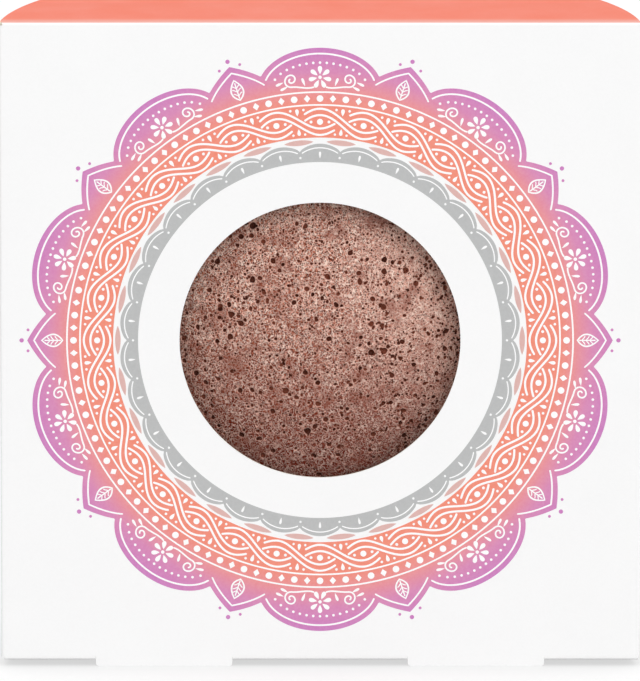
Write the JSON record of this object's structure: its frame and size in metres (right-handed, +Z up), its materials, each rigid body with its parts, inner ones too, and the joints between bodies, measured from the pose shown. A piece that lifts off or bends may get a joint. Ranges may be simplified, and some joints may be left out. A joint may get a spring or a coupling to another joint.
{
  "type": "konjac sponge in a window carton",
  "caption": "Dome-shaped konjac sponge in a half-moon paperboard carton with a round film window, a hinged lid and a hinged bottom that tuck in at the back.",
  "frame": {"origin": "middle of the box's footprint, on the surface that the box stands on", "axes": "+Z up, the window faces -Y, +X is the box's right as seen from the front"},
  "size_m": [0.108, 0.048, 0.111],
  "materials": {
    "front_board": "printed satin boxboard",
    "wall_board": "satin boxboard",
    "lid_board": "satin boxboard with a coral tint",
    "window_film": "clear gloss",
    "carton_glue": "dried glue",
    "konjac": "dry porous konjac"
  },
  "bodies": {
    "carton": {"front_panel": "front_board", "back_wall": "wall_board", "glue_flap": "wall_board", "seam_glue": "carton_glue", "window_film": "window_film", "film_glue": "carton_glue"},
    "lid": {"top_lid": "lid_board"},
    "lid_tuck": {"lid_tuck_flap": "lid_board"},
    "bottom": {"bottom_flap": "wall_board"},
    "bottom_tuck": {"bottom_tuck_flap": "wall_board"},
    "sponge": {"sponge": "konjac"}
  },
  "joints": [
    {"name": "lid_crease", "type": "hinge", "parent": "carton", "child": "lid", "pos_m": [0, -0.024, 0.111], "axis": [1, 0, 0], "range_deg": [0, 151]},
    {"name": "lid_tuck_crease", "type": "hinge", "parent": "lid", "child": "lid_tuck", "pos_m": [0, 0.02166, 0.111], "axis": [1, 0, 0], "range_deg": [0, 46]},
    {"name": "bottom_crease", "type": "hinge", "parent": "carton", "child": "bottom", "pos_m": [0, -0.024, 0.0011], "axis": [-1, 0, 0], "range_deg": [0, 100]},
    {"name": "bottom_tuck_crease", "type": "hinge", "parent": "bottom", "child": "bottom_tuck", "pos_m": [0, 0.02166, 0.0011], "axis": [-1, 0, 0], "range_deg": [0, 31]},
    {"name": "sponge_lift", "type": "slide", "parent": "carton", "child": "sponge", "axis": [0, 0, 1], "range_m": [0, 0.092]}
  ],
  "couplings": [
    {"joint": "lid_crease", "follows": "sponge_lift", "rad_per_m": 28.457},
    {"joint": "lid_tuck_crease", "follows": "sponge_lift", "rad_per_m": 8.537},
    {"joint": "bottom_tuck_crease", "follows": "bottom_crease", "ratio": 0.3}
  ]
}
